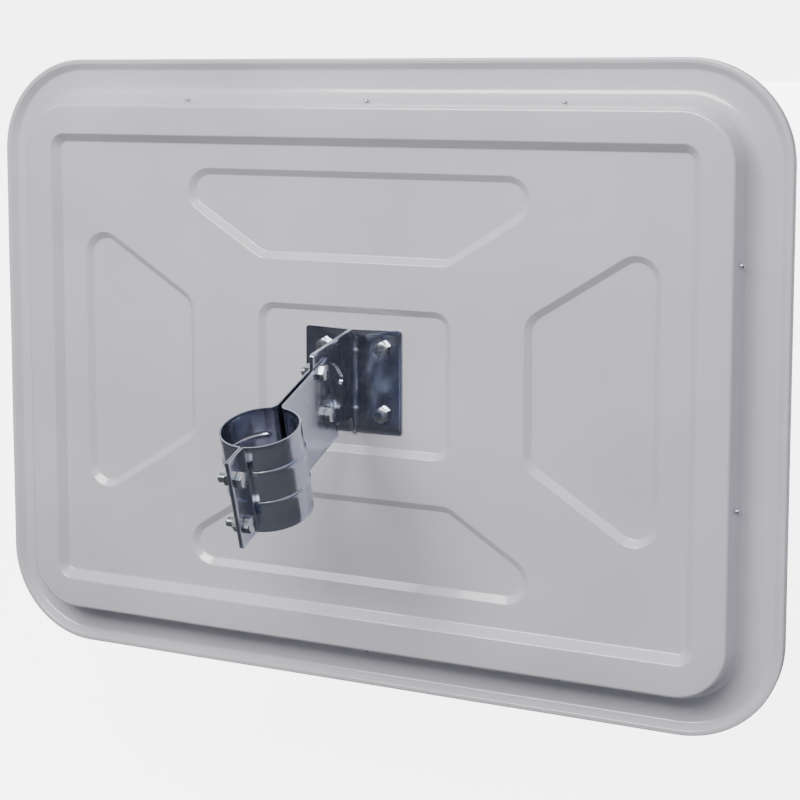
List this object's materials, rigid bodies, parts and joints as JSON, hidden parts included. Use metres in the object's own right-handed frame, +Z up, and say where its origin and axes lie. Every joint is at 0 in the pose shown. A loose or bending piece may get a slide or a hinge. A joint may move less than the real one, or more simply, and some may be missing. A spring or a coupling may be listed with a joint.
{
  "type": "convex traffic mirror",
  "caption": "Rectangular convex traffic mirror: pressed plastic back shell, domed mirror face and a zinc-plated pole clamp with a slotted tilt bracket.",
  "frame": {"origin": "on the pole's axis, at the middle of the clamp band's height", "axes": "+Z up along the pole, mirror face looks towards -Y and down by 17.5 degrees at rest, +X across the panel"},
  "size_m": [0.8, 0.3563, 0.5754],
  "materials": {
    "shell_plastic": "pale grey moulded plastic, satin gloss",
    "mirror_face": "silvered plastic, polished",
    "seal_rubber": "black, matt",
    "zinc_sheet": "bright blue-white zinc plating",
    "zinc_fastener": "bright zinc plating"
  },
  "bodies": {
    "clamp": {"band_left": "zinc_sheet", "band_right": "zinc_sheet", "pivot_bolt": "zinc_fastener", "pivot_nut": "zinc_fastener", "lock_bolt": "zinc_fastener", "lock_nut": "zinc_fastener", "flange_lower_bolt": "zinc_fastener", "flange_lower_nut": "zinc_fastener", "flange_upper_bolt": "zinc_fastener", "flange_upper_nut": "zinc_fastener"},
    "mirror": {"back_shell": "shell_plastic", "mirror_lens": "mirror_face", "edge_seal": "seal_rubber", "bracket_left": "zinc_sheet", "bracket_right": "zinc_sheet", "backing_plate": "zinc_sheet", "fixing_bolt_1": "zinc_fastener", "fixing_bolt_2": "zinc_fastener", "fixing_bolt_3": "zinc_fastener", "fixing_bolt_4": "zinc_fastener", "fixing_nut_1": "zinc_fastener", "fixing_nut_2": "zinc_fastener", "fixing_nut_3": "zinc_fastener", "fixing_nut_4": "zinc_fastener", "edge_screw_01": "zinc_fastener", "edge_screw_02": "zinc_fastener", "edge_screw_03": "zinc_fastener", "edge_screw_04": "zinc_fastener", "edge_screw_05": "zinc_fastener", "edge_screw_06": "zinc_fastener", "edge_screw_07": "zinc_fastener", "edge_screw_08": "zinc_fastener", "edge_screw_09": "zinc_fastener", "edge_screw_10": "zinc_fastener"}
  },
  "joints": [
    {"name": "mirror_tilt", "type": "hinge", "parent": "clamp", "child": "mirror", "pos_m": [0, -0.1125, -0.009], "axis": [1, 0, 0], "range_deg": [-45, 6]}
  ]
}
